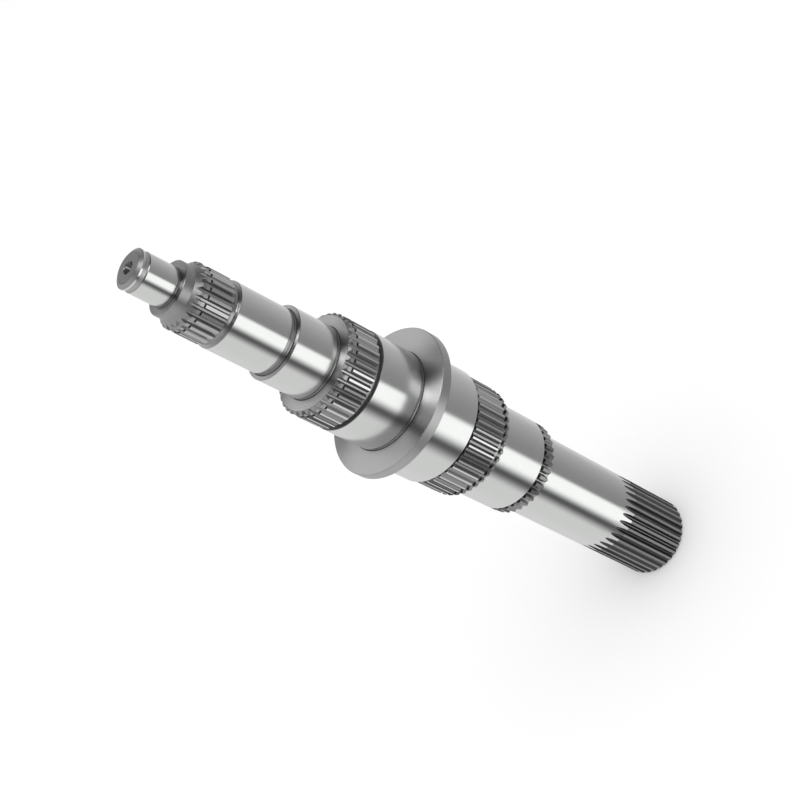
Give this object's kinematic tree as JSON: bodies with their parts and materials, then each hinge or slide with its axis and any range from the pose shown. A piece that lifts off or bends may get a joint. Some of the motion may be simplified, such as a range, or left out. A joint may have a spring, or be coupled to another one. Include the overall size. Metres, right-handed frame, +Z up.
{
  "type": "transmission main shaft",
  "caption": "Stepped steel gearbox shaft with ground journals, rows of straight spline teeth, a thrust flange and a long splined output end.",
  "frame": {"origin": "centre of the end face of the output spline, on which the shaft stands", "axes": "+Z up along the shaft's axis from the output end to the pilot nose; -Y is the side that the picture shows nearest"},
  "size_m": [0.0892, 0.0892, 0.4137],
  "materials": {
    "ground_steel": "ground journals, hobbed teeth and turned grooves"
  },
  "bodies": {
    "root": {"main_shaft": "ground_steel"}
  },
  "joints": []
}
